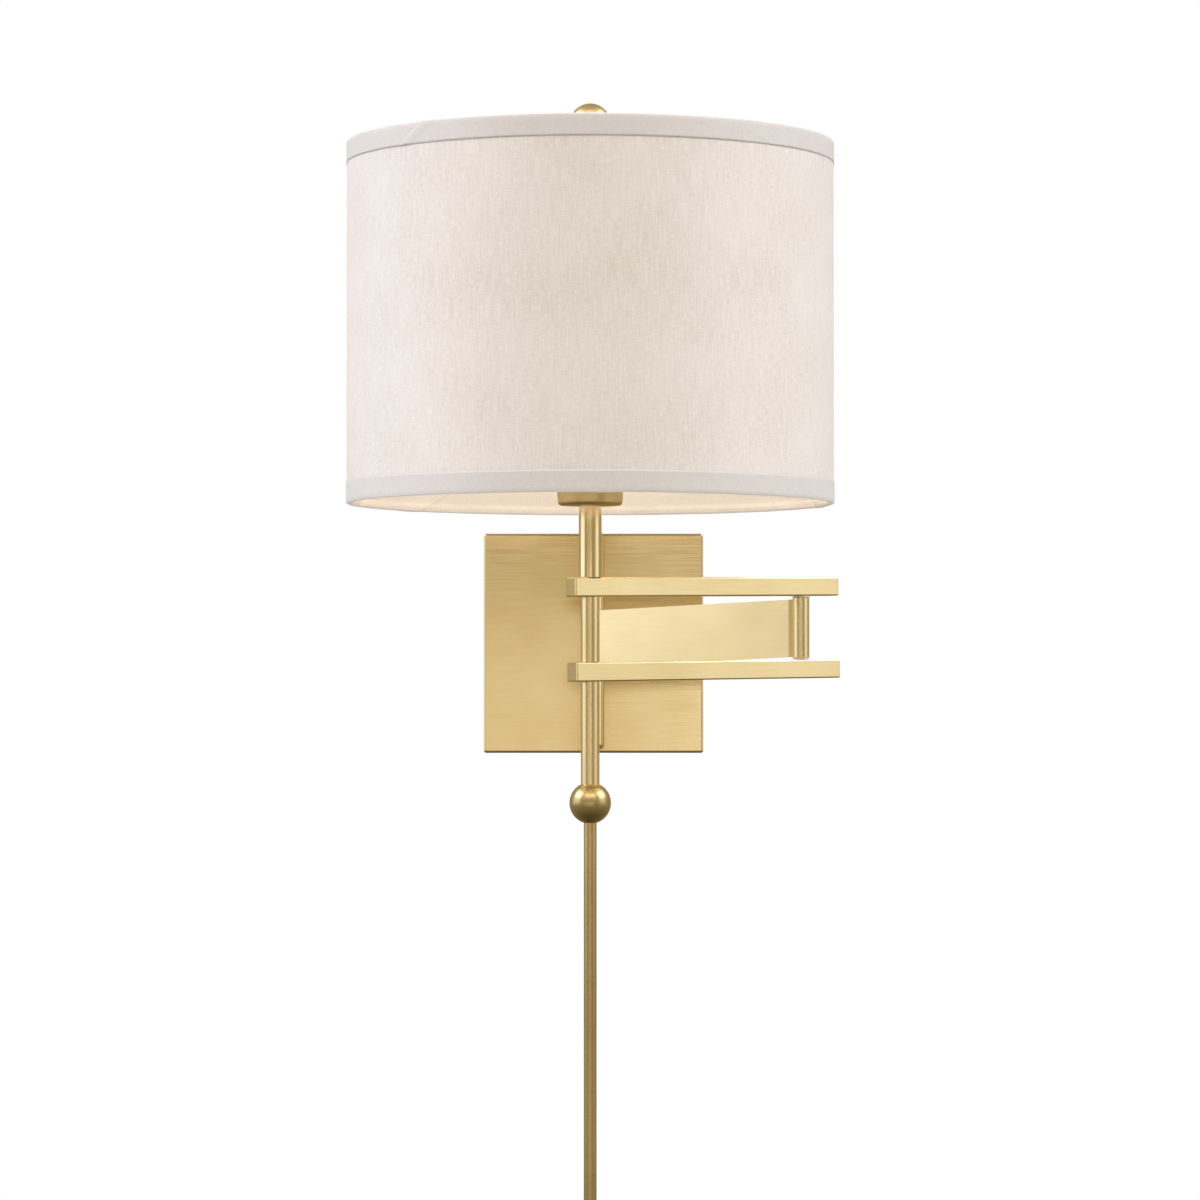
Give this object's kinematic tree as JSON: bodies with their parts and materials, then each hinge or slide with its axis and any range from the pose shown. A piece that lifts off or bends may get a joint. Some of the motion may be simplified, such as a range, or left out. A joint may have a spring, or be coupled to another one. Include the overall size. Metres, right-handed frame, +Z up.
{
  "type": "swing arm wall sconce",
  "caption": "Wall lamp with a two-part swinging arm, a flat inner arm and paired square outer bars, carrying a drum shade on a stem.",
  "frame": {"origin": "centre of the wall plate's open back, on the wall surface", "axes": "+Y into the wall, +Z up, +X along the wall to the side the arm folds towards"},
  "size_m": [0.3137, 0.3683, 0.751],
  "materials": {
    "brushed_brass": "brushed, clear lacquered",
    "satin_brass": "satin",
    "zinc_steel": "zinc plated",
    "ring_wire": "plated wire",
    "pale_nylon": "natural nylon",
    "socket_brass": "bright",
    "liner_card": "insulating card",
    "black_moulding": "moulded",
    "wire_insulation": "insulated wire",
    "base_aluminium": "thin rolled metal",
    "opal_glass": "inside frosted",
    "shade_liner": "translucent backing sheet",
    "shade_cloth": "silky slub weave",
    "trim_cloth": "folded tape"
  },
  "bodies": {
    "wall": {"backplate_pan": "brushed_brass", "mounting_strip": "zinc_steel", "pan_set_screws": "zinc_steel", "pivot_post_upper": "brushed_brass", "pivot_post_lower": "brushed_brass", "post_screws": "zinc_steel", "wall_tube_upper": "brushed_brass", "wall_tube_lower": "brushed_brass", "wall_tube_cap_upper": "brushed_brass", "wall_tube_cap_lower": "brushed_brass", "wall_pivot_rod": "zinc_steel"},
    "inner_arm": {"flat_arm_plate": "brushed_brass", "wall_knuckle": "brushed_brass", "wall_bush_upper": "pale_nylon", "wall_bush_lower": "pale_nylon", "elbow_sleeve": "brushed_brass", "elbow_bush_upper": "pale_nylon", "elbow_bush_lower": "pale_nylon"},
    "outer_arm": {"upper_bar": "brushed_brass", "lower_bar": "brushed_brass", "elbow_pin": "zinc_steel", "stem_upper_tube": "brushed_brass", "stem_middle_tube": "brushed_brass", "stem_lower_tube": "brushed_brass", "threaded_pipe": "zinc_steel", "stem_ball": "satin_brass", "cord_cover_tube": "satin_brass", "cord_bushing": "black_moulding", "lead_wires": "wire_insulation", "socket_cup": "satin_brass", "cup_nut": "zinc_steel", "harp_saddle": "satin_brass", "harp": "satin_brass", "harp_ferrules": "satin_brass", "harp_stud": "satin_brass", "socket_cap": "socket_brass", "socket_shell": "socket_brass", "socket_insulator": "liner_card", "socket_body": "black_moulding", "socket_screw_shell": "socket_brass", "centre_contact": "socket_brass", "bulb_base": "base_aluminium", "bulb_glass": "opal_glass", "spider": "satin_brass", "shade_top_ring": "ring_wire", "shade_bottom_ring": "ring_wire", "shade_liner": "shade_liner", "shade_fabric": "shade_cloth", "top_trim": "trim_cloth", "bottom_trim": "trim_cloth", "finial": "satin_brass"},
    "switch_key": {"switch_key": "satin_brass"}
  },
  "joints": [
    {"name": "wall_pivot", "type": "hinge", "parent": "wall", "child": "inner_arm", "pos_m": [0, -0.042, 0], "axis": [0, 0, 1], "range_deg": [-50, 33.4]},
    {"name": "elbow", "type": "hinge", "parent": "inner_arm", "child": "outer_arm", "pos_m": [0.13358, -0.13008, 0], "axis": [0, 0, 1], "range_deg": [-23, 138]},
    {"name": "switch_turn", "type": "hinge", "parent": "outer_arm", "child": "switch_key", "pos_m": [-0.00181, -0.23534, 0.114], "axis": [0, -1, 0], "continuous": true}
  ]
}
